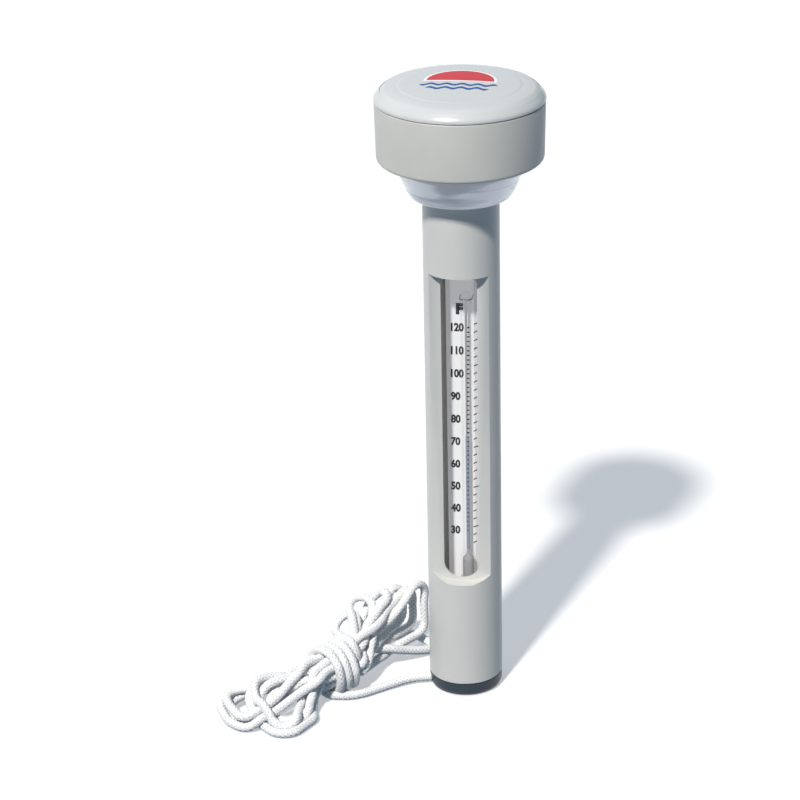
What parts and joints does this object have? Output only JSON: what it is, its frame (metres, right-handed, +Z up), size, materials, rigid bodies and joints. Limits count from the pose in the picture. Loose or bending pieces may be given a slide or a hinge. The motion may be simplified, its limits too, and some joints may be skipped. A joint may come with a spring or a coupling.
{
  "type": "floating pool thermometer",
  "caption": "Floating thermometer: hollow float head on a slotted stem, glass tube and scale card behind the window, bottom cap and a hanked tether cord.",
  "frame": {"origin": "on the stem's axis at the underside of the bottom cap, which stands on the surface", "axes": "+Z up along the stem towards the float head, -Y out of the window"},
  "size_m": [0.1132, 0.0743, 0.2242],
  "materials": {
    "lid_plastic": "gloss",
    "skirt_plastic": "satin",
    "stem_plastic": "satin",
    "bowl_plastic": "gloss",
    "cap_plastic": "satin",
    "clear_plastic": "gloss",
    "thin_glass": "gloss",
    "stopper_plastic": "satin",
    "white_plastic": "satin",
    "card": "matte",
    "spirit": "gloss",
    "foam": "matte",
    "steel": "satin",
    "black_rubber": "matte",
    "cord": "matte"
  },
  "bodies": {
    "insert": {"bottom_cap": "cap_plastic", "ballast_ring": "steel", "lower_bush": "black_rubber", "clear_tube": "clear_plastic", "clear_tube_stopper": "stopper_plastic", "key_bush": "white_plastic", "scale_card": "card", "glass_tube": "thin_glass", "spirit_reservoir": "spirit", "bulb_cushion": "foam", "upper_staple": "steel", "lower_staple": "steel", "cord_knot": "cord", "cord_lead": "cord", "cord_hank": "cord"},
    "case": {"stem_tube": "stem_plastic", "float_bowl": "bowl_plastic", "float_skirt": "skirt_plastic", "float_lid": "lid_plastic", "lid_seal_ring": "black_rubber", "bowl_gasket": "black_rubber", "neck_lock_nut": "white_plastic", "neck_seal_ring": "black_rubber"},
    "spirit": {"spirit_column": "spirit"}
  },
  "joints": [
    {"name": "case_lift", "type": "slide", "parent": "insert", "child": "case", "axis": [0, 0, 1], "range_m": [0, 0.166]},
    {"name": "spirit_rise", "type": "slide", "parent": "insert", "child": "spirit", "axis": [0, 0, 1], "range_m": [-0.0377, 0.0394], "deforming": ["spirit_column"]}
  ]
}
